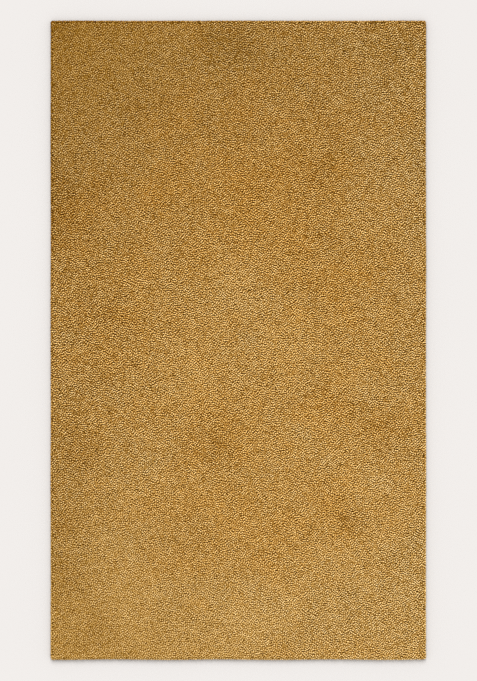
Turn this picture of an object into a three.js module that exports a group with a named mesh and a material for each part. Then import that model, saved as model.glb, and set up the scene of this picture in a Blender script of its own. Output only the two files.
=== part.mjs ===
// A plain cut-pile wool rug lying flat, in millimetres with +Z up.
//
// The rug is one piece of cloth, so it is one closed solid: a woven ground under a short, dense
// pile. The pile leans out over the ground on all four sides, rounds off there, and has soft
// swells where it lies one way or the other. The origin is the middle of the underside, with X
// across the rug and Y along it.

import * as THREE from 'three';
import { mergeVertices } from 'three/addons/utils/BufferGeometryUtils.js';

// Driving dimensions of the whole rug
const RUG_WIDTH = 900;
const RUG_LENGTH = 1532;
const GROUND_THICKNESS = 3;
const PILE_HEIGHT = 11;
const CORNER_RADIUS = 6;

// The turned edge of the pile, from the widest line up to the level top and down to the ground
const SHOULDER_REACH = 9;
const SHOULDER_DROP = 7;
const GROUND_INSET = 4;

// How finely the surface is cut up
const FIELD_CELL = 38;
const SHOULDER_STEPS = 4;
const WALL_STEPS = 3;

// The wool's finish
const MUSTARD_WOOL = 0xae8344;
const WOOL_ROUGHNESS = 0.95;

// Each edge is straight but for a shallow wave: how deep it draws in, and over what length
const EDGE_WAVES = {
  left: { depth: 0.5, length: 410, start: 60 },
  right: { depth: 0.5, length: 530, start: 200 },
  near: { depth: 1.2, length: 260, start: 90 },
  far: { depth: 0.4, length: 380, start: 0 },
};

// Patches where the nap was stroked up or pressed down, each with its middle, reach and rise
const NAP_PATCHES = [
  { across: -20, along: 715, reach: 110, rise: -0.8 },
  { across: -360, along: 660, reach: 120, rise: -0.8 },
  { across: -235, along: 535, reach: 90, rise: -0.5 },
  { across: -415, along: 300, reach: 110, rise: -0.9 },
  { across: 215, along: 400, reach: 90, rise: -0.6 },
  { across: 320, along: 300, reach: 100, rise: 0.4 },
  { across: -305, along: 60, reach: 90, rise: -0.6 },
  { across: 0, along: 125, reach: 90, rise: 0.6 },
  { across: 105, along: -15, reach: 95, rise: 0.8 },
  { across: -105, along: -75, reach: 85, rise: 0.6 },
  { across: -50, along: -245, reach: 75, rise: -0.8 },
  { across: -385, along: -265, reach: 85, rise: -0.8 },
  { across: 365, along: -230, reach: 80, rise: -0.6 },
  { across: 330, along: -350, reach: 80, rise: 0.6 },
  { across: 258, along: -420, reach: 65, rise: -0.7 },
  { across: -265, along: -420, reach: 140, rise: 0.5 },
  { across: 20, along: -680, reach: 100, rise: 0.8 },
];

const halfWidth = RUG_WIDTH / 2;
const halfLength = RUG_LENGTH / 2;
const rugThickness = GROUND_THICKNESS + PILE_HEIGHT;

// Place of one grid line: the outermost lines follow the shoulder's quarter turn and the rest
// are evenly spaced over the field.
function gridLine(step, steps, half) {
  const field = half - SHOULDER_REACH;
  const fromEdge = Math.min(step, steps - step);
  if (fromEdge >= SHOULDER_STEPS) {
    const share = (step - SHOULDER_STEPS) / (steps - 2 * SHOULDER_STEPS);
    return field * (2 * share - 1);
  }
  const turn = (fromEdge / SHOULDER_STEPS) * (Math.PI / 2);
  const fromMiddle = field + SHOULDER_REACH * Math.cos(turn);
  return step < steps / 2 ? -fromMiddle : fromMiddle;
}

// How far the pile has dropped at a distance in from the edge: a quarter of an ellipse.
function shoulderDrop(fromEdge) {
  if (fromEdge >= SHOULDER_REACH) {
    return 0;
  }
  const run = 1 - fromEdge / SHOULDER_REACH;
  return SHOULDER_DROP * (1 - Math.sqrt(1 - run * run));
}

// The rise of the nap at a point: a soft round swell for each patch, added together.
function napRise(x, y) {
  let rise = 0;
  for (const patch of NAP_PATCHES) {
    const distance = Math.hypot(x - patch.across, y - patch.along);
    rise += patch.rise * Math.exp(-((distance / patch.reach) ** 2));
  }
  return rise;
}

// Height of the pile's surface above the underside.
function pileTop(x, y) {
  const fromEdge = Math.min(halfWidth - Math.abs(x), halfLength - Math.abs(y));
  return rugThickness + napRise(x, y) - shoulderDrop(fromEdge);
}

// How far an edge draws in at a place along it.
function drawnIn(wave, place) {
  const turn = (2 * Math.PI * (place - wave.start)) / wave.length;
  return (wave.depth * (1 - Math.cos(turn))) / 2;
}

// Round the square corner of the grid: a point past both arc centres keeps its larger offset as
// its distance from the arc's centre.
function roundCorner(x, y) {
  const pastX = Math.abs(x) - (halfWidth - CORNER_RADIUS);
  const pastY = Math.abs(y) - (halfLength - CORNER_RADIUS);
  if (pastX <= 0 || pastY <= 0) {
    return [x, y];
  }
  const pull = Math.max(pastX, pastY) / Math.hypot(pastX, pastY);
  return [
    Math.sign(x) * (halfWidth - CORNER_RADIUS + pastX * pull),
    Math.sign(y) * (halfLength - CORNER_RADIUS + pastY * pull),
  ];
}

// Place in plan of a grid point: the corner is rounded, and then the point moves in with the
// waves of its two nearest edges and, below the widest line, with the ground's inset.
function planPlace(x, y, level) {
  const [cornerX, cornerY] = roundCorner(x, y);
  const sideWave = x < 0 ? EDGE_WAVES.left : EDGE_WAVES.right;
  const endWave = y < 0 ? EDGE_WAVES.near : EDGE_WAVES.far;
  const tuck = GROUND_INSET * (1 - level) ** 2;
  return [
    cornerX * (1 - (drawnIn(sideWave, y) + tuck) / halfWidth),
    cornerY * (1 - (drawnIn(endWave, x) + tuck) / halfLength),
  ];
}

// The whole rug: a box cut into a grid, with every point moved to its place. The level runs from
// 0 on the underside to 1 on the pile's surface.
function rugGeometry() {
  const stepsAcross = 2 * SHOULDER_STEPS + Math.round(RUG_WIDTH / FIELD_CELL);
  const stepsAlong = 2 * SHOULDER_STEPS + Math.round(RUG_LENGTH / FIELD_CELL);
  const box = new THREE.BoxGeometry(1, 1, 1, stepsAcross, stepsAlong, WALL_STEPS);
  const points = box.getAttribute('position');
  for (let i = 0; i < points.count; i += 1) {
    const stepAcross = Math.round((points.getX(i) + 0.5) * stepsAcross);
    const stepAlong = Math.round((points.getY(i) + 0.5) * stepsAlong);
    const level = Math.round((points.getZ(i) + 0.5) * WALL_STEPS) / WALL_STEPS;
    const gridX = gridLine(stepAcross, stepsAcross, halfWidth);
    const gridY = gridLine(stepAlong, stepsAlong, halfLength);
    const [x, y] = planPlace(gridX, gridY, level);
    points.setXYZ(i, x, y, level * pileTop(gridX, gridY));
  }
  box.deleteAttribute('normal');
  box.deleteAttribute('uv');
  const solid = mergeVertices(box);
  solid.computeVertexNormals();
  return solid;
}

const wool = new THREE.MeshStandardMaterial({
  color: MUSTARD_WOOL,
  roughness: WOOL_ROUGHNESS,
  metalness: 0,
});

const rug = new THREE.Mesh(rugGeometry(), wool);
rug.name = 'rug';

const woolRug = new THREE.Group();
woolRug.add(rug);

export default woolRug;
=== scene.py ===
"""A plain mustard wool rug lying flat: cut yarn tufts standing on a woven ground, in metres."""

import math

import bpy
import numpy as np
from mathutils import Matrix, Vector


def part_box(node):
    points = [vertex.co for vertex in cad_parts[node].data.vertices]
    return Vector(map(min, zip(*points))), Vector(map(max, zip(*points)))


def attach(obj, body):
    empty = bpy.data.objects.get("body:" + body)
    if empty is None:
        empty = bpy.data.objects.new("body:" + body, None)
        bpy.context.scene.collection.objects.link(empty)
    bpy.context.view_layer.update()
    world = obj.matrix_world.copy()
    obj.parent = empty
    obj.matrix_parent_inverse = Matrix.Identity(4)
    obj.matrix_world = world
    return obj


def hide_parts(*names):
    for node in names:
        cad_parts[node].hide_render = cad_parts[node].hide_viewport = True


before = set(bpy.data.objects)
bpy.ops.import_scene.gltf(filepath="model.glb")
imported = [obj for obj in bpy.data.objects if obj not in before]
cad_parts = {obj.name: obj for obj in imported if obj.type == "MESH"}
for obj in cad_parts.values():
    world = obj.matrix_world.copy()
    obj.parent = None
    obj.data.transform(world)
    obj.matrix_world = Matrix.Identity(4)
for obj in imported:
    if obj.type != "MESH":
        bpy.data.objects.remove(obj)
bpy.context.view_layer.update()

RANDOM_SEED = 41
random = np.random.default_rng(RANDOM_SEED)

# The photograph's frame, and the rug's edges in it, in pixels
PHOTO_WIDTH = 477
PHOTO_HEIGHT = 681
RUG_LEFT = 50.6
RUG_RIGHT = 426.1
RUG_TOP = 20.8
RUG_BOTTOM = 659.8

# The rug's sizes: the plan is that of the solid which the rug stands for
rug_low, rug_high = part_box("rug")
HALF_WIDTH = max(-rug_low.x, rug_high.x)
HALF_LENGTH = max(-rug_low.y, rug_high.y)
GROUND_THICKNESS = 0.003
PILE_HEIGHT = 0.011
CORNER_RADIUS = 0.006

# The turned edge: how far in the pile starts to drop, how far it drops, how far in the ground lies
SHOULDER_REACH = 0.009
SHOULDER_DROP = 0.007
GROUND_INSET = 0.004

# How many points the ground and the pile's body have across the rug and along it
SLAB_POINTS = (25, 41)

# What all yarn tufts share: how late they lean over, how far they are drawn out of round, how
# much the way of that turns from tuft to tuft, and how uneven their widths and their rings are
TUFT_LEAN_POWER = 1.4
TUFT_STRETCH = 0.3
STRETCH_TURN = 0.7
UNEVEN_WIDTH = (0.9, 1.1)
RING_LIFT = 0.03

# A run whose share of height is less than this counts as flat
NEARLY_UPRIGHT = 0.9

# How far a tuft reaches from the middle of its square cell of the flat map
MAP_REACH = 0.46

# Yarn tufts of the field: how many sides they have, their rings, each at a share of the height
# and with a share of the radius, their pitch along a row and from row to row, and their radius
FIELD_TUFT = {"sides": 5, "rings": [(0.76, 1.0)]}
TUFT_PITCH = 0.0056
ROW_PITCH = 0.0031
TUFT_RADIUS = 0.0036
PILE_STRIPS = 6

# How the field's tufts come to stand unevenly, in pitches: how far each row is shifted and each
# tuft is shaken, and the spacing that they are then set apart to, over how many neighbours each
# way, in how many rounds and by what share in each
ROW_SHIFT = 0.25
TUFT_SHAKE = 0.7
APART_SPACING = 1.08
APART_NEIGHBOURS = 2
APART_ROUNDS = 18
APART_SHARE = 0.35
SMALLEST_DISTANCE = 1e-6

# How far in from the outline the field's tips and roots stay, how far the roots reach into the
# ground, how far the tips lean towards the far end, how far each sways from that together with
# its neighbours and by itself, and how uneven their heights are
TIP_INSET = 0.0046
ROOT_INSET = 0.0055
ROOT_DEPTH = 0.001
NAP_LEAN = 0.0035
LEAN_SWAY = 0.0006
LEAN_SCATTER = 0.0002
HEIGHT_SPREAD = 0.00025

# The dense body of the pile under the tips: how far in from the outline and below the pile's top
# it lies, and the height on a tuft at which the yarn looks the same, in the flanks' painted shade
BED_INSET = 0.0080
BED_DROP = 0.0038
BED_LIKE_HEIGHT = 0.5

# Yarn tufts of the rim: their shape as above, their pitch, how much wider each tier's is than the
# one below's, and their radius
RIM_TUFT = {"sides": 6, "rings": [(0.4, 0.75), (0.8, 1.0)]}
RIM_PITCH = 0.0050
RIM_WIDENING = 0.03
RIM_RADIUS = 0.0030

# The rim's tiers from the lowest up: how far in from the outline the tips are, how high they are
# above the floor, and how much lighter than the field the yarn is painted, the two lower tiers
# darker with painted shade
RIM_TIERS = [
    {"inset": -0.0008, "height": 0.0040, "tone": -0.06},
    {"inset": -0.0008, "height": 0.0075, "tone": -0.03},
    {"inset": 0.0010, "height": 0.0108, "tone": 0.05},
]

# How far the rim's roots lie in from the ground's edge and how high they are, and how far its
# tips are scattered inwards, up or down, and along the edge
RIM_ROOT_INSET = 0.0025
RIM_ROOT_HEIGHT = 0.0022
RIM_INSET_SPREAD = 0.0003
RIM_HEIGHT_SPREAD = 0.0005
RIM_SWAY = 0.0006

# How the rim's yarn differs from the field's: its tone and hue towards the right side and the far
# end, and how deep the painted streaks of light and shade are
RIM_TONE_TO_RIGHT = 0.05
RIM_TONE_TO_FAR = -0.07
RIM_HUE_TO_RIGHT = 0.4
RIM_HUE_TO_FAR = -0.2
RIM_DEPTH = 0.6

# The lowest that any yarn comes to the floor
FLOOR_GAP = 0.0002

# Soft random waves: the shortest and the longest of them, and how many are added up
BEND_WAVES = (0.08, 0.22, 10)
MOTTLE_WAVES = (0.03, 0.10, 24)
HUE_WAVES = (0.06, 0.20, 24)
LEAN_WAVES = (0.05, 0.30, 12)

# How far the waves draw the nap's patches out of round
PATCH_BEND = 0.010

# The nap's painted shade, lighter or darker as the nap leans towards the light or away from it,
# and its mottle of tone: in the middle, what is added towards the far end, at both ends and at the
# left side, and how much the patches and the mottle count
TONE_MIDDLE = 0.38
TONE_TO_FAR = -0.57
TONE_AT_ENDS = 0.03
TONE_AT_LEFT = -0.50
TONE_OF_PATCHES = 0.6
TONE_OF_MOTTLE = 0.08

# The nap's hue: what is added at both sides and at both ends, how that at the ends changes
# towards the right, and how much the soft waves count
HUE_AT_SIDES = 0.6
HUE_AT_ENDS = 1.2
HUE_AT_ENDS_TO_RIGHT = -0.5
HUE_OF_WAVES = 0.35

# How deep the painted streaks of light and shade are: in the middle, what is added at both ends,
# and what is added towards the right in the middle and, on top, at both ends
DEPTH_MIDDLE = 1.25
DEPTH_AT_ENDS = -0.59
DEPTH_TO_RIGHT = 0.04
DEPTH_AT_ENDS_TO_RIGHT = 0.30

# How far the grain of single tufts and the nap's painted shade and mottle move the level of the
# wool's colours, and that level where nothing moves it
GRAIN_TONE = 0.03
NAP_SHADE_AND_MOTTLE = 0.088
LEVEL_MIDDLE = 0.505

# Streaks of painted light and shade where tufts lean together: how strong they are, how many
# patches of them lie to the metre, how many fit in a patch, how alike they run, and where to
STREAK_TONE = 3.2
STREAK_SCALE = 112.0
STREAK_FREQUENCY = 1.8
STREAK_ORDER = 0.4
STREAK_TURN = math.radians(97)

# Fine fibres in the yarn: how strong they are, how many lie to the metre, their detail, the scale
# that draws them out upwards, how much smoother the lightest ones are, and their relief's strength
# and depth
FIBRE_TONE = 1.1
FIBRE_SCALE = 900.0
FIBRE_DETAIL = 2.0
FIBRE_RUN = (1.0, 1.0, 0.25)
FIBRE_SMOOTHNESS = 0.2
FIBRE_RELIEF = (0.4, 0.0003)

# The darkest and the lightest that the streaks' painted light and shade and the fibres together
# make a tuft
SWING_DARKEST = -0.64
SWING_LIGHTEST = 0.40

# The wool's colours at levels from 0, dark, to 1, light: at the cut tips, with painted light, and
# on the flanks, with painted shade
LIT_TIP_COLOURS = [
    (0.08, (0.004, 0.000, 0.000)),
    (0.25, (0.062, 0.011, 0.000)),
    (0.42, (0.258, 0.125, 0.013)),
    (0.60, (0.478, 0.298, 0.112)),
    (0.78, (0.682, 0.462, 0.214)),
    (0.95, (0.840, 0.610, 0.318)),
]
SHADED_FLANK_COLOURS = [
    (0.0, (0.030, 0.006, 0.000)),
    (0.5, (0.170, 0.070, 0.002)),
    (1.0, (0.440, 0.245, 0.050)),
]

# The heights on a tuft between which the flank's painted shade gives way to the tip's painted light
TIP_FROM = 0.80
TIP_TO = 0.94

# Tints over the wool: below the tip, a warmer painted shade, then where it is brownest, and where
# it is greenest, and how far one step of the hue moves it from the one to the other
WARM_SHADE_TINT = (1.0, 0.9, 0.5)
BROWN_TINT = (1.0, 0.89, 0.585)
GREEN_TINT = (0.96, 0.985, 0.945)
HUE_STEP = 0.25

# The wool's roughness, and its soft glow at a slant: how strong, how rough and of what tint
WOOL_ROUGHNESS = 0.92
SHEEN_WEIGHT = 0.05
SHEEN_ROUGHNESS = 0.4
SHEEN_TINT = (1.0, 0.6, 0.05)

# The ground's weave: how far it runs until it repeats, its relief's strength and depth, its
# roughness down between the threads, how much smoother they are on top, and its gloss
WEAVE_REPEAT = 0.0024
WEAVE_RELIEF = (0.6, 0.0004)
GROUND_ROUGHNESS = 0.98
THREAD_SMOOTHNESS = 0.1
GROUND_GLOSS = 0.05

# The ground's dye down between the threads, darker with painted shade, and on top of them, each
# from its darker tone to its lighter one, and the dye's clouds: how many lie to the metre, and
# their detail
SHADED_UNDER_COLOURS = ((0.16, 0.06, 0.004), (0.24, 0.10, 0.010))
OVER_COLOURS = ((0.34, 0.16, 0.020), (0.42, 0.21, 0.035))
DYE_CLOUDS = (30.0, 3.0)

# The floor: how far it reaches each way, its two tones, and its clouds as above
FLOOR_REACH = 30.0
FLOOR_DARK = (0.459, 0.443, 0.430)
FLOOR_LIGHT = (0.470, 0.454, 0.441)
FLOOR_CLOUDS = (2.0, 2.0)

# The studio's light: even from all round, and a key light with its direction and softness
SKY_COLOUR = (1.0, 1.0, 1.0)
SKY_STRENGTH = 1.25
KEY_STRENGTH = 2.78
KEY_DIRECTION = (0.0, -0.66, -0.75)
KEY_SOFTNESS = math.radians(40)

# The camera's lens and film in millimetres, and how far it sees
LENS = 135
FILM = 36
VIEW_REACH = 100

# Each edge is straight but for a shallow wave: how deep it draws in, over what length
EDGE_WAVES = {
    "left": {"depth": 0.0005, "length": 0.410, "start": 0.060},
    "right": {"depth": 0.0005, "length": 0.530, "start": 0.200},
    "near": {"depth": 0.0012, "length": 0.260, "start": 0.090},
    "far": {"depth": 0.0004, "length": 0.380, "start": 0.000},
}

# A round patch: its middle, its reach, and what it adds there
PATCH = [("across", float), ("along", float), ("reach", float), ("value", float)]

# Patches where the nap was stroked up or pressed down, and how far it rises there
NAP_SWELLS = np.array(
    [
        (-0.020, 0.715, 0.110, -0.0008),
        (-0.360, 0.660, 0.120, -0.0008),
        (-0.235, 0.535, 0.090, -0.0005),
        (-0.415, 0.300, 0.110, -0.0009),
        (0.215, 0.400, 0.090, -0.0006),
        (0.320, 0.300, 0.100, 0.0004),
        (-0.305, 0.060, 0.090, -0.0006),
        (0.000, 0.125, 0.090, 0.0006),
        (0.105, -0.015, 0.095, 0.0008),
        (-0.105, -0.075, 0.085, 0.0006),
        (-0.050, -0.245, 0.075, -0.0008),
        (-0.385, -0.265, 0.085, -0.0008),
        (0.365, -0.230, 0.080, -0.0006),
        (0.330, -0.350, 0.080, 0.0006),
        (0.258, -0.420, 0.065, -0.0007),
        (-0.265, -0.420, 0.140, 0.0005),
        (0.020, -0.680, 0.100, 0.0008),
    ],
    dtype=PATCH,
)

# Patches of painted shade, darker (below 0) or lighter, as the nap leans towards the light or away
# from it
NAP_SHADES = np.array(
    [
        (-0.018, 0.719, 0.072, -1.0),
        (-0.380, 0.650, 0.110, 0.2),
        (0.390, 0.731, 0.050, -0.5),
        (-0.234, 0.539, 0.066, -0.5),
        (-0.418, 0.347, 0.060, -0.8),
        (-0.430, 0.245, 0.060, -0.8),
        (0.210, 0.407, 0.060, -0.5),
        (-0.300, 0.059, 0.078, -0.9),
        (0.234, 0.233, 0.048, -0.5),
        (-0.342, -0.097, 0.054, -0.6),
        (-0.395, -0.265, 0.065, -1.0),
        (-0.048, -0.247, 0.055, -1.3),
        (0.228, -0.133, 0.054, -0.8),
        (0.366, -0.229, 0.054, -0.9),
        (0.258, -0.421, 0.050, -1.2),
        (-0.432, -0.433, 0.045, -1.0),
        (0.390, 0.155, 0.042, -0.5),
        (-0.108, -0.481, 0.042, -0.6),
        (-0.420, -0.565, 0.048, -0.7),
        (-0.330, -0.703, 0.048, -0.5),
        (0.168, -0.685, 0.036, -0.5),
        (0.378, -0.529, 0.050, -0.4),
        (0.000, 0.131, 0.084, 0.9),
        (0.102, -0.013, 0.078, 0.9),
        (-0.102, -0.073, 0.072, 0.8),
        (-0.204, 0.095, 0.048, 0.6),
        (0.162, -0.235, 0.054, 0.6),
        (0.330, -0.349, 0.072, 0.8),
        (0.276, -0.073, 0.054, 0.6),
        (-0.258, -0.613, 0.066, 0.5),
        (0.018, -0.679, 0.072, 0.7),
        (0.126, -0.625, 0.048, 0.5),
        (0.258, -0.517, 0.072, 0.5),
        (-0.294, -0.493, 0.084, 0.4),
        (-0.258, -0.349, 0.084, 0.4),
        (0.318, 0.299, 0.072, 0.5),
        (-0.204, 0.443, 0.060, 0.3),
        (-0.042, 0.383, 0.072, 0.3),
        (0.330, 0.485, 0.048, 0.3),
        (0.114, 0.503, 0.048, 0.3),
    ],
    dtype=PATCH,
)

# Areas where the mustard is a little browner (below 0) or greener
HUE_SPOTS = np.array(
    [
        (0.060, 0.340, 0.170, -1.4),
        (-0.156, 0.512, 0.035, -1.0),
        (-0.169, 0.365, 0.045, -1.0),
        (0.220, 0.445, 0.060, -0.8),
        (-0.384, 0.325, 0.050, -1.3),
        (-0.411, 0.217, 0.045, -1.3),
        (-0.290, 0.055, 0.070, -1.1),
        (-0.397, -0.011, 0.040, -0.7),
        (0.240, 0.120, 0.090, -1.1),
        (0.207, -0.145, 0.060, -1.2),
        (0.341, -0.212, 0.050, -1.0),
        (-0.040, -0.225, 0.070, -1.3),
        (-0.384, -0.239, 0.040, -0.7),
        (-0.089, -0.400, 0.070, -0.9),
        (0.072, -0.475, 0.080, -1.2),
        (0.250, -0.410, 0.070, -1.2),
        (0.000, 0.115, 0.080, 0.9),
        (0.060, -0.010, 0.060, 0.6),
        (0.153, -0.225, 0.040, 0.7),
        (0.341, -0.346, 0.050, 0.7),
        (-0.300, 0.700, 0.160, 1.2),
        (0.000, 0.740, 0.110, 0.9),
        (0.320, 0.690, 0.150, 0.7),
        (-0.400, 0.500, 0.110, 1.2),
        (0.400, 0.420, 0.120, 0.9),
        (-0.300, -0.300, 0.130, 0.8),
        (-0.380, -0.560, 0.130, 1.4),
        (-0.230, -0.690, 0.130, 1.2),
        (0.000, -0.670, 0.100, 1.7),
        (0.200, -0.660, 0.110, 1.2),
        (0.390, -0.600, 0.120, 1.2),
    ],
    dtype=PATCH,
)

# Small partings where a few tufts stand apart and sink, with painted shade for the dark of the pile
# that shows, each with how much darker it is painted, and how far its tufts sink for each 1 of that
PARTINGS = np.array(
    [
        (0.155, 0.528, 0.0032, -0.9),
        (0.003, 0.146, 0.0030, -0.5),
        (0.013, 0.124, 0.0030, -0.5),
        (0.029, 0.120, 0.0030, -0.5),
        (0.038, 0.120, 0.0030, -0.4),
    ],
    dtype=PATCH,
)
PARTING_DEPTH = 0.005


def soft_waves(x, y, shortest, longest, count):
    """A smooth random field: sine waves of seeded heading, length and phase, added up.

    The sum is scaled by the root of 2 / count, which gives it a deviation of 1.
    """
    field = np.zeros_like(x)
    for _ in range(count):
        heading = random.uniform(0, math.tau)
        length = random.uniform(shortest, longest)
        phase = random.uniform(0, math.tau)
        along = x * math.cos(heading) + y * math.sin(heading)
        field += np.sin(math.tau * along / length + phase)
    return field * math.sqrt(2 / count)


def spots(x, y, table):
    """A soft round spot for each row of a table, value * exp(-(distance / reach) squared), added."""
    field = np.zeros_like(x)
    for spot in table:
        distance = np.hypot(x - spot["across"], y - spot["along"])
        field += spot["value"] * np.exp(-((distance / spot["reach"]) ** 2))
    return field


def bent_spots(x, y, table):
    """The spots of a table, drawn out of round: each place is first moved by soft waves."""
    bent_x = x + PATCH_BEND * soft_waves(x, y, *BEND_WAVES)
    bent_y = y + PATCH_BEND * soft_waves(x, y, *BEND_WAVES)
    return spots(bent_x, bent_y, table)


def painted_nap_shade_and_mottle(x, y):
    """Painted shade where the nap lies one way or another, and a mottle, from about -1 to 1.

    It falls in a shallow curve towards the far end, and with the square of the distance towards
    the left side. Patches that soft waves draw out of round come on top, and finer waves mottle
    it all.
    """
    to_far = y / HALF_LENGTH
    to_left = np.clip(-x / HALF_WIDTH, 0, 1)
    run = TONE_MIDDLE + TONE_TO_FAR * to_far + TONE_AT_ENDS * to_far**2 + TONE_AT_LEFT * to_left**2
    patches = TONE_OF_PATCHES * bent_spots(x, y, NAP_SHADES)
    return run + patches + TONE_OF_MOTTLE * soft_waves(x, y, *MOTTLE_WAVES)


def nap_hue(x, y):
    """How brown (below 0) or how green (above 0) the mustard is.

    It grows greener with the fourth power of the distance towards the sides and the square of that
    towards the ends, there more so on the left. Patches that soft waves draw out of round come on
    top, and finer waves vary it all.
    """
    to_right = x / HALF_WIDTH
    sides = HUE_AT_SIDES * to_right**4
    ends = HUE_AT_ENDS * (y / HALF_LENGTH) ** 2 * (1 + HUE_AT_ENDS_TO_RIGHT * to_right)
    patches = bent_spots(x, y, HUE_SPOTS)
    return patches + sides + ends + HUE_OF_WAVES * soft_waves(x, y, *HUE_WAVES)


def painted_streak_depth(x, y):
    """Depth of the painted streaks of light and shade: most in the middle, less to both ends, there
    more on the right.
    """
    to_right = x / HALF_WIDTH
    to_end = np.abs(y) / HALF_LENGTH
    rise = DEPTH_TO_RIGHT + DEPTH_AT_ENDS_TO_RIGHT * to_end
    return DEPTH_MIDDLE + DEPTH_AT_ENDS * to_end + rise * to_right


def yarn_looks(x, y, grain):
    """The looks of tufts that stand at places in plan: their tone with painted shade, hue and depth.
    """
    # The tufts' own grain, and the nap's painted shade with its mottle
    tone = GRAIN_TONE * grain + NAP_SHADE_AND_MOTTLE * painted_nap_shade_and_mottle(x, y)
    return {"yarn_tone": tone, "yarn_hue": nap_hue(x, y), "yarn_depth": painted_streak_depth(x, y)}


def pile_top(x, y):
    """Height of the pile: its thickness and swells, less a quarter of an ellipse at the edge."""
    from_edge = np.minimum(HALF_WIDTH - np.abs(x), HALF_LENGTH - np.abs(y))
    run = 1 - np.clip(from_edge / SHOULDER_REACH, 0, 1)
    drop = SHOULDER_DROP * (1 - np.sqrt(1 - run**2))
    return GROUND_THICKNESS + PILE_HEIGHT + spots(x, y, NAP_SWELLS) - drop


def draw_in(wave, place):
    """How far an edge draws in at a place along it: depth * (1 - cosine of the turn) / 2."""
    return wave["depth"] * (1 - np.cos(math.tau * (place - wave["start"]) / wave["length"])) / 2


def follow_edges(x, y):
    """Move points in with the shallow waves of their nearest side and end, as the solid does."""
    side = np.where(x < 0, draw_in(EDGE_WAVES["left"], y), draw_in(EDGE_WAVES["right"], y))
    end = np.where(y < 0, draw_in(EDGE_WAVES["near"], x), draw_in(EDGE_WAVES["far"], x))
    return x * (1 - side / HALF_WIDTH), y * (1 - end / HALF_LENGTH)


def neighbours(field, reach):
    """The field as seen from every place up to some rows and columns away from each tuft."""
    steps = range(-reach, reach + 1)
    for rows in steps:
        for columns in steps:
            if rows or columns:
                yield np.roll(field, (rows, columns), axis=(0, 1))


def set_apart(x, y):
    """Spread tufts evenly, in rounds.

    In each round a tuft moves away from every neighbour that is nearer than the spacing, by
    share * (spacing / distance - 1) of the gap, at most the share of it. The distance is counted
    in pitches along the row and in rows of an even triangular pattern.
    """
    row_step = ROW_PITCH * 2 / math.sqrt(3)
    for _ in range(APART_ROUNDS):
        push_x = np.zeros_like(x)
        push_y = np.zeros_like(y)
        pairs = zip(neighbours(x, APART_NEIGHBOURS), neighbours(y, APART_NEIGHBOURS))
        for other_x, other_y in pairs:
            gap_x = x - other_x
            gap_y = y - other_y
            distance = np.hypot(gap_x / TUFT_PITCH, gap_y / row_step) + SMALLEST_DISTANCE
            push = APART_SHARE * np.clip(APART_SPACING / distance - 1, 0, 1)
            push_x += push * gap_x
            push_y += push * gap_y
        x = x + push_x
        y = y + push_y
    return x, y


def tuft_places():
    """The field's tufts: their places in plan, and each one's grain.

    They start in rows, shifted by turns to one side and the other, are shaken well by seeded
    steps and then set apart again. The grain is a seeded number less the mean of the eight tufts
    round it.
    """
    half_x = HALF_WIDTH - TIP_INSET
    half_y = HALF_LENGTH - TIP_INSET
    margin = 2 * TUFT_PITCH
    columns = math.ceil(2 * (half_x + margin) / TUFT_PITCH)
    rows = math.ceil(2 * (half_y + margin) / ROW_PITCH)
    column, row = np.meshgrid(np.arange(columns), np.arange(rows))
    shift = np.where(row % 2, ROW_SHIFT, -ROW_SHIFT)
    x = (column - (columns - 1) / 2 + shift) * TUFT_PITCH
    y = (row - (rows - 1) / 2) * ROW_PITCH
    x = x + random.uniform(-TUFT_SHAKE, TUFT_SHAKE, x.shape) * TUFT_PITCH
    y = y + random.uniform(-TUFT_SHAKE, TUFT_SHAKE, y.shape) * ROW_PITCH
    x, y = set_apart(x, y)
    inside = (np.abs(x) < half_x) & (np.abs(y) < half_y)
    grain = random.normal(0, 1, x.shape)
    around = list(neighbours(grain, 1))
    grain = grain - sum(around) / len(around)
    return x[inside], y[inside], grain[inside]


def put_mesh(name, points, faces, smooth=True):
    """A mesh object from whole arrays: its points and the corners of its faces."""
    mesh = bpy.data.meshes.new(name)
    mesh.vertices.add(len(points))
    mesh.vertices.foreach_set("co", points.astype(np.float32).ravel())
    mesh.loops.add(faces.size)
    mesh.loops.foreach_set("vertex_index", faces.astype(np.int32).ravel())
    mesh.polygons.add(len(faces))
    starts = np.arange(0, faces.size, faces.shape[1])
    mesh.polygons.foreach_set("loop_start", starts.astype(np.int32))
    mesh.update(calc_edges=True)
    mesh.polygons.foreach_set("use_smooth", np.full(len(faces), smooth))
    piece = bpy.data.objects.new(name, mesh)
    bpy.context.scene.collection.objects.link(piece)
    return piece


def put_attribute(piece, name, values):
    """A number on each point of a piece, which its material reads by this name."""
    attribute = piece.data.attributes.new(name, "FLOAT", "POINT")
    attribute.data.foreach_set("value", values.astype(np.float32))


def tuft_pattern(sides, levels):
    """Corners of one tuft's faces. Point 0 is the root, then come the rings, then the tip."""
    ring = np.arange(sides)
    after = np.roll(ring, -1)
    root = np.zeros(sides, int)
    tip = np.full(sides, 1 + levels * sides)
    faces = [np.stack([root, 1 + after, 1 + ring], axis=1)]
    for level in range(levels - 1):
        low = 1 + level * sides
        high = low + sides
        faces.append(np.stack([low + ring, low + after, high + after], axis=1))
        faces.append(np.stack([low + ring, high + after, high + ring], axis=1))
    last = 1 + (levels - 1) * sides
    faces.append(np.stack([last + ring, last + after, tip], axis=1))
    return np.concatenate(faces)


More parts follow.
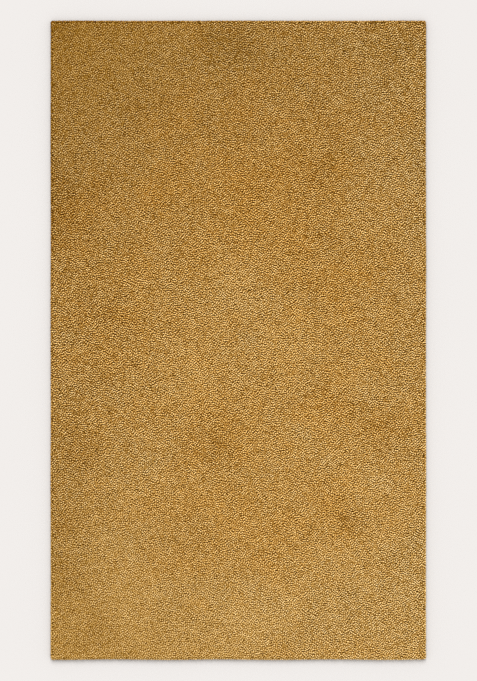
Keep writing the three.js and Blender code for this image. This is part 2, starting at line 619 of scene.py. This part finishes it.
def tuft_map(count, sides, levels):
    """Places of the face corners on the flat map.

    Each tuft has a square cell of its own, with its tip in the middle, its rings round that and
    its root spread out all round, so that each face lies flat beside the next.
    """
    cells = math.ceil(math.sqrt(count))
    ring = np.arange(sides)
    pattern = tuft_pattern(sides, levels)
    distance = np.zeros(2 + levels * sides)
    angle = np.zeros(2 + levels * sides)
    for level in range(levels):
        distance[1 + level * sides + ring] = MAP_REACH * (levels - level) / (levels + 1)
        angle[1 + level * sides + ring] = math.tau * ring / sides
    corner_distance = distance[pattern]
    corner_angle = angle[pattern]
    corner_distance[:sides, 0] = MAP_REACH
    corner_angle[:sides, 0] = math.tau * (ring + 0.5) / sides
    u = 0.5 + corner_distance * np.cos(corner_angle)
    v = 0.5 + corner_distance * np.sin(corner_angle)
    inside = np.stack([u, v], axis=-1).reshape(1, -1, 2)
    number = np.arange(count)
    cell = np.stack([number % cells, number // cells], axis=-1).reshape(-1, 1, 2)
    return (cell + inside) / cells


def round_about(run):
    """Two unit directions square to each tuft's run and to each other, in right-handed order."""
    way = run / np.linalg.norm(run, axis=1, keepdims=True)
    flat = np.abs(way[:, 2:]) < NEARLY_UPRIGHT
    guide = np.where(flat, np.array([0.0, 0.0, 1.0]), np.array([0.0, 1.0, 0.0]))
    first = np.cross(guide, way)
    first /= np.linalg.norm(first, axis=1, keepdims=True)
    return first, np.cross(way, first)


def tufts(name, roots, tips, radii, shape, yarns):
    """Yarn tufts as one mesh.

    Each tuft runs from its root to its tip, rising first and then leaning over: its middle line
    is root + (tip - root) * (share to the lean's power in plan, share in height). Round that line
    lie the rings of its shape, radius * the ring's width, drawn out a little along a heading of
    their own, mostly across the rug. Each ring point is moved in or out, and up or down, by a
    seeded share. Each list in yarns, with one number for each tuft, becomes an attribute.
    """
    count = len(roots)
    sides = shape["sides"]
    levels = len(shape["rings"])
    turn = random.uniform(0, math.tau, count)
    angle = turn[:, None] + math.tau * np.arange(sides)[None, :] / sides
    heading = random.normal(0, STRETCH_TURN, count)[:, None]
    stretch = 1 + TUFT_STRETCH * np.cos(2 * (angle - heading))
    run = tips - roots
    first, second = round_about(run)
    reach = np.cos(angle)[:, :, None] * first[:, None, :]
    reach += np.sin(angle)[:, :, None] * second[:, None, :]
    points = [roots[:, None, :]]
    heights = [np.zeros((count, 1))]
    for share, width in shape["rings"]:
        leaned = share**TUFT_LEAN_POWER
        middle = roots + run * np.array([leaned, leaned, share])
        out = width * radii[:, None] * stretch * random.uniform(*UNEVEN_WIDTH, (count, sides))
        lift = random.normal(0, RING_LIFT, (count, sides))
        ring = middle[:, None, :] + reach * out[:, :, None] + run[:, None, :] * lift[:, :, None]
        points.append(ring)
        heights.append(np.full((count, sides), share))
    points.append(tips[:, None, :])
    heights.append(np.ones((count, 1)))
    points = np.concatenate(points, axis=1)
    points[:, :, 2] = np.maximum(points[:, :, 2], FLOOR_GAP)
    heights = np.concatenate(heights, axis=1)
    per_tuft = points.shape[1]
    starts = per_tuft * np.arange(count)[:, None, None]
    corners = tuft_pattern(sides, levels)[None, :, :] + starts
    piece = put_mesh(name, points.reshape(-1, 3), corners.reshape(-1, 3))
    put_attribute(piece, "yarn_height", heights.ravel())
    for attribute, values in yarns.items():
        put_attribute(piece, attribute, np.repeat(values, per_tuft))
    flat = piece.data.uv_layers.new(name="OFBake")
    flat.data.foreach_set("uv", tuft_map(count, sides, levels).astype(np.float32).ravel())
    return piece


def lean(x, y):
    """How far tufts lean over: soft waves that neighbours share, and a seeded scatter of each."""
    return LEAN_SWAY * soft_waves(x, y, *LEAN_WAVES) + random.normal(0, LEAN_SCATTER, len(x))


def field_pile():
    """The pile inside the rim, cut into strips along the rug, each strip one mesh of tufts."""
    x, y, grain = tuft_places()
    count = len(x)
    lean_x = lean(x, y)
    lean_y = lean(x, y) + NAP_LEAN
    root_x = np.clip(x - lean_x, ROOT_INSET - HALF_WIDTH, HALF_WIDTH - ROOT_INSET)
    root_y = np.clip(y - lean_y, ROOT_INSET - HALF_LENGTH, HALF_LENGTH - ROOT_INSET)
    root_z = np.full(count, GROUND_THICKNESS - ROOT_DEPTH)
    parting = spots(x, y, PARTINGS)
    uneven = random.normal(0, HEIGHT_SPREAD, count)
    tip_z = pile_top(x, y) + uneven + PARTING_DEPTH * parting
    roots = np.stack([*follow_edges(root_x, root_y), root_z], axis=1)
    tips = np.stack([*follow_edges(x, y), tip_z], axis=1)
    radii = TUFT_RADIUS * random.uniform(*UNEVEN_WIDTH, count)
    yarns = yarn_looks(x, y, grain)
    # Painted shade in the partings
    yarns["yarn_tone"] += parting
    strips = []
    edges = np.linspace(-HALF_WIDTH, HALF_WIDTH, PILE_STRIPS + 1)
    for number in range(PILE_STRIPS):
        inside = (x >= edges[number]) & (x < edges[number + 1])
        own = {attribute: values[inside] for attribute, values in yarns.items()}
        name = f"pile_strip_{number + 1}"
        strips.append(tufts(name, roots[inside], tips[inside], radii[inside], FIELD_TUFT, own))
    return strips


def outline(spacing):
    """Points round the rug's outline and the way out from it: straight runs and corner arcs."""
    straight_x = HALF_WIDTH - CORNER_RADIUS
    straight_y = HALF_LENGTH - CORNER_RADIUS
    arc = CORNER_RADIUS * math.pi / 2
    points = []
    ways = []
    for quarter in range(4):
        heading = quarter * math.pi / 2
        out = np.array([math.cos(heading), math.sin(heading)])
        along = np.array([-math.sin(heading), math.cos(heading)])
        half_run = straight_y if quarter % 2 == 0 else straight_x
        depth = HALF_WIDTH if quarter % 2 == 0 else HALF_LENGTH
        steps = round((2 * half_run + arc) / spacing)
        place = (np.arange(steps) + 0.5) / steps * (2 * half_run + arc)
        on_run = np.minimum(place, 2 * half_run) - half_run
        turn = np.maximum(place - 2 * half_run, 0) / CORNER_RADIUS
        way = np.cos(turn)[:, None] * out + np.sin(turn)[:, None] * along
        middle = (depth - CORNER_RADIUS) * out + on_run[:, None] * along
        points.append(middle + CORNER_RADIUS * way)
        ways.append(way)
    return np.concatenate(points), np.concatenate(ways)


def raised(places, heights):
    """Points from places in plan, moved in with the edges' waves, and from their heights."""
    return np.stack([*follow_edges(places[:, 0], places[:, 1]), heights], axis=1)


def rim_pile():
    """The pile that turns over the edge: tiers of tufts fanned out from the ground's own edge."""
    roots = []
    tips = []
    tones = []
    for number, tier in enumerate(RIM_TIERS):
        edge, way = outline(RIM_PITCH * (1 + RIM_WIDENING * number))
        count = len(edge)
        inset = tier["inset"] + np.abs(random.normal(0, RIM_INSET_SPREAD, count))
        height = tier["height"] + random.normal(0, RIM_HEIGHT_SPREAD, count)
        along = np.stack([-way[:, 1], way[:, 0]], axis=1)
        sway = random.normal(0, RIM_SWAY, count)[:, None] * along
        root = edge - way * (GROUND_INSET + RIM_ROOT_INSET)
        tip = edge - way * inset[:, None] + sway
        roots.append(raised(root, np.full(count, RIM_ROOT_HEIGHT)))
        tips.append(raised(tip, height))
        tones.append(np.full(count, tier["tone"]))
    roots = np.concatenate(roots)
    tips = np.concatenate(tips)
    count = len(roots)
    radii = RIM_RADIUS * random.uniform(*UNEVEN_WIDTH, count)
    yarns = yarn_looks(tips[:, 0], tips[:, 1], random.normal(0, 1, count))
    to_right = tips[:, 0] / HALF_WIDTH
    to_far = tips[:, 1] / HALF_LENGTH
    # The tiers' tone, with painted shade darkening the two lower tiers
    yarns["yarn_tone"] += np.concatenate(tones)
    yarns["yarn_tone"] += RIM_TONE_TO_RIGHT * to_right + RIM_TONE_TO_FAR * to_far
    yarns["yarn_hue"] += RIM_HUE_TO_RIGHT * to_right + RIM_HUE_TO_FAR * to_far
    yarns["yarn_depth"] *= RIM_DEPTH
    return tufts("pile_rim", roots, tips, radii, RIM_TUFT, yarns)


def slab(name, inset, under_at, top_at):
    """A closed slab whose outline is inset from the pile's, between two heights over the plan.

    Its top and its underside are the same grid, and the walls join their borders.
    """
    across = np.linspace(inset - HALF_WIDTH, HALF_WIDTH - inset, SLAB_POINTS[0])
    along = np.linspace(inset - HALF_LENGTH, HALF_LENGTH - inset, SLAB_POINTS[1])
    x, y = np.meshgrid(across, along)
    plan = np.stack([x.ravel(), y.ravel()], axis=1)
    low = raised(plan, np.full(x.size, under_at))
    high = raised(plan, np.full(x.size, top_at))
    number = np.arange(x.size).reshape(x.shape)
    cells = [number[:-1, :-1], number[:-1, 1:], number[1:, 1:], number[1:, :-1]]
    top = np.stack(cells, axis=-1).reshape(-1, 4) + x.size
    under = np.stack(cells[::-1], axis=-1).reshape(-1, 4)
    sides = [number[0, :-1], number[:-1, -1], number[-1, :0:-1], number[:0:-1, 0]]
    border = np.concatenate(sides)
    after = np.roll(border, -1)
    walls = np.stack([border, after, after + x.size, border + x.size], axis=-1)
    faces = np.concatenate([top, under, walls])
    return put_mesh(name, np.concatenate([low, high]), faces, smooth=False)


def pile_bed():
    """The dense body of the pile, which shows between the tufts in the flanks' brown painted shade.
    """
    top = GROUND_THICKNESS + PILE_HEIGHT - BED_DROP
    piece = slab("pile_bed", BED_INSET, GROUND_THICKNESS, top)
    places = np.zeros(3 * len(piece.data.vertices))
    piece.data.vertices.foreach_get("co", places)
    x, y, _ = places.reshape(-1, 3).T
    # The bed takes the flanks' painted shade
    put_attribute(piece, "yarn_height", np.full(len(x), BED_LIKE_HEIGHT))
    for attribute, values in yarn_looks(x, y, np.zeros_like(x)).items():
        put_attribute(piece, attribute, values)
    return piece


class Wire:
    """A node's output that can be added to, multiplied and so on: each operator is a Math node."""

    def __init__(self, nodes, socket):
        self.nodes = nodes
        self.socket = socket

    def maths(self, operation, first, second):
        """One step of arithmetic on two outputs or numbers."""
        return self.nodes.add("ShaderNodeMath", {"operation": operation}, {0: first, 1: second})

    def __add__(self, other):
        return self.maths("ADD", self, other)

    def __radd__(self, other):
        return self.maths("ADD", other, self)

    def __sub__(self, other):
        return self.maths("SUBTRACT", self, other)

    def __rsub__(self, other):
        return self.maths("SUBTRACT", other, self)

    def __mul__(self, other):
        return self.maths("MULTIPLY", self, other)

    def __rmul__(self, other):
        return self.maths("MULTIPLY", other, self)

    def sine(self):
        """The sine of the output, taken as an angle in radians."""
        return self.nodes.add("ShaderNodeMath", {"operation": "SINE"}, {0: self})


class Nodes:
    """A node tree in the making, with the one method that adds a node."""

    def __init__(self, owner):
        owner.use_nodes = True
        self.tree = owner.node_tree

    def add(self, kind, settings, inputs, output=0):
        """Add a node of that type: its settings are set first, then its inputs."""
        made = self.tree.nodes.new(kind)
        for name, value in settings.items():
            if name == "stops":
                set_stops(made.color_ramp, value)
            else:
                setattr(made, name, value)
        for key, value in inputs.items():
            self.plug(made.inputs[key], value)
        return Wire(self, made.outputs[output])

    def plug(self, socket, value):
        """Give a socket its value or colour, or link it."""
        if isinstance(value, Wire):
            self.tree.links.new(value.socket, socket)
        elif socket.type == "RGBA":
            socket.default_value = (*value, 1)
        else:
            socket.default_value = value

    def finish(self, kind, looks):
        """Give the tree's own node of a type, such as its shader, a value for each socket named."""
        made = next(node for node in self.tree.nodes if node.type == kind)
        for name, value in looks.items():
            self.plug(made.inputs[name], value)

    def colours(self, factor, first, second, blend="MIX"):
        """Mix two colours."""
        settings = {"data_type": "RGBA", "blend_type": blend, "clamp_factor": True}
        return self.add("ShaderNodeMix", settings, {0: factor, 6: first, 7: second}, output=2)

    def ramp(self, level, stops):
        """The colour that a ramp has at a level."""
        return self.add("ShaderNodeValToRGB", {"stops": stops}, {0: level})

    def place(self):
        """Where a point lies on the piece."""
        return self.add("ShaderNodeTexCoord", {}, {}, output="Object")

    def attribute(self, name):
        """A number that each point of the piece carries under that name."""
        return self.add("ShaderNodeAttribute", {"attribute_name": name}, {}, output="Fac")

    def noise(self, place, scale, detail):
        """A soft noise from 0 to 1, with so many waves to the metre."""
        inputs = {"Vector": place, "Scale": scale, "Detail": detail}
        return self.add("ShaderNodeTexNoise", {}, inputs)

    def smooth_step(self, value, low, high):
        """0 below the low value and 1 above the high one, rising smoothly in between."""
        inputs = {"Value": value, "From Min": low, "From Max": high}
        return self.add("ShaderNodeMapRange", {"interpolation_type": "SMOOTHSTEP"}, inputs)

    def bump(self, height, strength, distance):
        """A surface direction that follows a height."""
        inputs = {"Height": height, "Strength": strength, "Distance": distance}
        return self.add("ShaderNodeBump", {}, inputs)


def set_stops(ramp, stops):
    """Give a colour ramp its stops, each a place from 0 to 1 and a colour."""
    while len(ramp.elements) < len(stops):
        ramp.elements.new(0.5)
    for element, (place, colour) in zip(ramp.elements, stops):
        element.position = place
        element.color = (*colour, 1)


def wool_yarn():
    """The pile: mustard wool, painted light on its pale cut tips, painted shade brown among the
    roots.

    The colour of the lit tips and that of the shaded flanks each come from a ramp along the level,
    which is its middle + tone, with the nap's painted shade, + depth * swing. The swing adds a fine
    fibre noise to a pattern of short streaks of painted light and shade, which run mostly across
    the rug, and is cut off at both ends. A smooth step of the height leads from the flank's painted
    shade over a warmer painted shade below the tip to the tip's painted light. Last, the hue tints
    it all.
    """
    material = bpy.data.materials.new("wool_yarn")
    nodes = Nodes(material)
    place = nodes.place()
    drawn_out = nodes.add(
        "ShaderNodeVectorMath", {"operation": "MULTIPLY"}, {0: place, 1: FIBRE_RUN}
    )
    fibre = nodes.noise(drawn_out, FIBRE_SCALE, FIBRE_DETAIL)
    run = {
        "Vector": place,
        "Scale": STREAK_SCALE,
        "Frequency": STREAK_FREQUENCY,
        "Anisotropy": STREAK_ORDER,
        "Orientation": STREAK_TURN,
    }
    # Short streaks of painted light and shade, where tufts lean together
    streak = nodes.add("ShaderNodeTexGabor", {"gabor_type": "2D"}, run)
    free = (fibre - 0.5) * FIBRE_TONE + (streak - 0.5) * STREAK_TONE
    swing = nodes.add("ShaderNodeClamp", {}, {0: free, 1: SWING_DARKEST, 2: SWING_LIGHTEST})
    tone = nodes.attribute("yarn_tone")
    level = LEVEL_MIDDLE + tone + nodes.attribute("yarn_depth") * swing
    # Painted light on the tips and painted shade on the flanks, blended by the height below
    tip = nodes.ramp(level, LIT_TIP_COLOURS)
    flank = nodes.ramp(level, SHADED_FLANK_COLOURS)
    up = nodes.smooth_step(nodes.attribute("yarn_height"), TIP_FROM, TIP_TO)
    warm = nodes.colours(1.0, tip, WARM_SHADE_TINT, "MULTIPLY")
    wool = nodes.colours(up, flank, nodes.colours(up, warm, tip))
    green = 0.5 + nodes.attribute("yarn_hue") * HUE_STEP
    tint = nodes.colours(green, BROWN_TINT, GREEN_TINT)
    looks = {
        "Base Color": nodes.colours(1.0, wool, tint, "MULTIPLY"),
        "Roughness": WOOL_ROUGHNESS - fibre * FIBRE_SMOOTHNESS,
        "Normal": nodes.bump(fibre, *FIBRE_RELIEF),
        "Specular IOR Level": 0.0,
        "Sheen Weight": SHEEN_WEIGHT,
        "Sheen Roughness": SHEEN_ROUGHNESS,
        "Sheen Tint": SHEEN_TINT,
    }
    nodes.finish("BSDF_PRINCIPLED", looks)
    return material


def woven_ground():
    """The ground: a plain weave, warp over weft by turns, in darker mustard.

    The weave's height is 0.5 + half the product of a wave across and a wave along. It paints shade
    down between the threads and drives the bump, and a soft noise of a few centimetres varies the
    dye.
    """
    material = bpy.data.materials.new("woven_ground")
    nodes = Nodes(material)
    place = nodes.place()
    across = nodes.add("ShaderNodeSeparateXYZ", {}, {0: place}, output="X")
    along = nodes.add("ShaderNodeSeparateXYZ", {}, {0: place}, output="Y")
    turns = math.tau / WEAVE_REPEAT
    weave = 0.5 + 0.5 * (across * turns).sine() * (along * turns).sine()
    dye = nodes.noise(place, *DYE_CLOUDS)
    # Painted shade down between the threads
    under = nodes.colours(dye, *SHADED_UNDER_COLOURS)
    over = nodes.colours(dye, *OVER_COLOURS)
    looks = {
        "Base Color": nodes.colours(weave, under, over),
        "Roughness": GROUND_ROUGHNESS - weave * THREAD_SMOOTHNESS,
        "Normal": nodes.bump(weave, *WEAVE_RELIEF),
        "Specular IOR Level": GROUND_GLOSS,
    }
    nodes.finish("BSDF_PRINCIPLED", looks)
    return material


def pale_floor():
    """The floor's finish: off-white, a hair lighter and darker in broad soft clouds."""
    material = bpy.data.materials.new("pale_floor")
    nodes = Nodes(material)
    cloud = nodes.noise(nodes.place(), *FLOOR_CLOUDS)
    looks = {
        "Base Color": nodes.colours(cloud, FLOOR_DARK, FLOOR_LIGHT),
        "Roughness": 1.0,
        "Specular IOR Level": 0.0,
    }
    nodes.finish("BSDF_PRINCIPLED", looks)
    return material


def floor():
    """A wide pale floor under the rug."""
    signs = np.array([(-1, -1, 0), (1, -1, 0), (1, 1, 0), (-1, 1, 0)])
    piece = put_mesh("floor", FLOOR_REACH * signs, np.arange(4).reshape(1, 4), smooth=False)
    piece.data.materials.append(pale_floor())


def studio():
    """Even light from all round, and a soft key light from the photograph's top."""
    world = bpy.data.worlds.new("studio")
    Nodes(world).finish("BACKGROUND", {"Color": SKY_COLOUR, "Strength": SKY_STRENGTH})
    light = bpy.data.lights.new("key_light", "SUN")
    light.energy = KEY_STRENGTH
    light.angle = KEY_SOFTNESS
    lamp = bpy.data.objects.new("key_light", light)
    lamp.rotation_mode = "QUATERNION"
    lamp.rotation_quaternion = Vector(KEY_DIRECTION).to_track_quat("-Z", "Y")
    scene = bpy.context.scene
    scene.world = world
    scene.collection.objects.link(lamp)
    scene.view_settings.view_transform = "Standard"
    # The denoiser would take the fine pile for noise and wipe it away in patches
    scene.cycles.use_denoising = False


def camera():
    """Straight above the rug with a long lens, at the photograph's scale and framing."""
    metres_per_pixel = 2 * HALF_WIDTH / (RUG_RIGHT - RUG_LEFT)
    outline_height = GROUND_THICKNESS + PILE_HEIGHT - SHOULDER_DROP
    distance = metres_per_pixel * PHOTO_HEIGHT * LENS / FILM
    off_x = (PHOTO_WIDTH / 2 - (RUG_LEFT + RUG_RIGHT) / 2) * metres_per_pixel
    off_y = ((RUG_TOP + RUG_BOTTOM) / 2 - PHOTO_HEIGHT / 2) * metres_per_pixel
    data = bpy.data.cameras.new("camera")
    data.lens = LENS
    data.sensor_width = FILM
    data.clip_end = VIEW_REACH
    piece = bpy.data.objects.new("camera", data)
    piece.location = (off_x, off_y, outline_height + distance)
    bpy.context.scene.collection.objects.link(piece)
    bpy.context.scene.camera = piece


yarn = wool_yarn()
pile_pieces = [*field_pile(), rim_pile(), pile_bed()]
for piece in pile_pieces:
    piece.data.materials.append(yarn)
    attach(piece, "root")
ground_piece = slab("rug_ground", GROUND_INSET, 0, GROUND_THICKNESS)
ground_piece.data.materials.append(woven_ground())
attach(ground_piece, "root")
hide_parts("rug")
floor()
studio()
camera()
